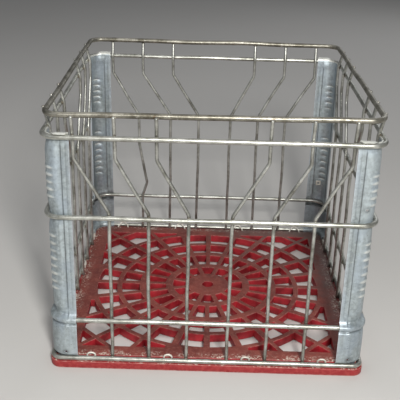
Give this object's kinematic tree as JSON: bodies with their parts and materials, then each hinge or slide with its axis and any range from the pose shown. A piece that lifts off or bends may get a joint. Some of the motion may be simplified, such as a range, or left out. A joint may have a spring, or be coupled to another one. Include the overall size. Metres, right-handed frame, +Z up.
{
  "type": "milk bottle crate",
  "caption": "Square open wire crate for milk bottles: round wire hoops and jogged uprights, pressed sheet corner posts and a moulded red plastic grille floor.",
  "frame": {"origin": "middle of the underside of the floor's ledge, on the plane that the crate stands on", "axes": "+Z up, -Y towards the front side, +X to the right of someone who faces the front"},
  "size_m": [0.3332, 0.3332, 0.2806],
  "materials": {
    "rim_wire": "galvanised round wire, dulled and browned by handling, rust at the welds",
    "hoop_wire": "galvanised round wire, pale and dull with grey wear",
    "upright_wire": "thin galvanised round wire, dull, rust specks at the welds",
    "post_sheet": "galvanised sheet with mottled zinc spangle and dark specks",
    "staple_wire": "bright galvanised staple wire",
    "floor_plastic": "faded red moulded plastic, scuffed on top, brighter in the openings"
  },
  "bodies": {
    "root": {"rim_hoop": "rim_wire", "upper_hoop": "hoop_wire", "middle_hoop": "hoop_wire", "lower_hoop": "hoop_wire", "base_hoop": "hoop_wire", "wire_front_1": "upright_wire", "wire_front_2": "upright_wire", "wire_front_3": "upright_wire", "wire_front_4": "upright_wire", "wire_front_5": "upright_wire", "wire_front_6": "upright_wire", "wire_right_1": "upright_wire", "wire_right_2": "upright_wire", "wire_right_3": "upright_wire", "wire_right_4": "upright_wire", "wire_right_5": "upright_wire", "wire_right_6": "upright_wire", "wire_back_1": "upright_wire", "wire_back_2": "upright_wire", "wire_back_3": "upright_wire", "wire_back_4": "upright_wire", "wire_back_5": "upright_wire", "wire_back_6": "upright_wire", "wire_left_1": "upright_wire", "wire_left_2": "upright_wire", "wire_left_3": "upright_wire", "wire_left_4": "upright_wire", "wire_left_5": "upright_wire", "wire_left_6": "upright_wire", "corner_post_front_left": "post_sheet", "corner_post_front_right": "post_sheet", "corner_post_back_right": "post_sheet", "corner_post_back_left": "post_sheet", "base_staple_front_1": "staple_wire", "base_staple_front_2": "staple_wire", "base_staple_front_3": "staple_wire", "base_staple_front_4": "staple_wire", "base_staple_right_1": "staple_wire", "base_staple_right_2": "staple_wire", "base_staple_right_3": "staple_wire", "base_staple_right_4": "staple_wire", "base_staple_back_1": "staple_wire", "base_staple_back_2": "staple_wire", "base_staple_back_3": "staple_wire", "base_staple_back_4": "staple_wire", "base_staple_left_1": "staple_wire", "base_staple_left_2": "staple_wire", "base_staple_left_3": "staple_wire", "base_staple_left_4": "staple_wire", "base_panel": "floor_plastic"}
  },
  "joints": []
}
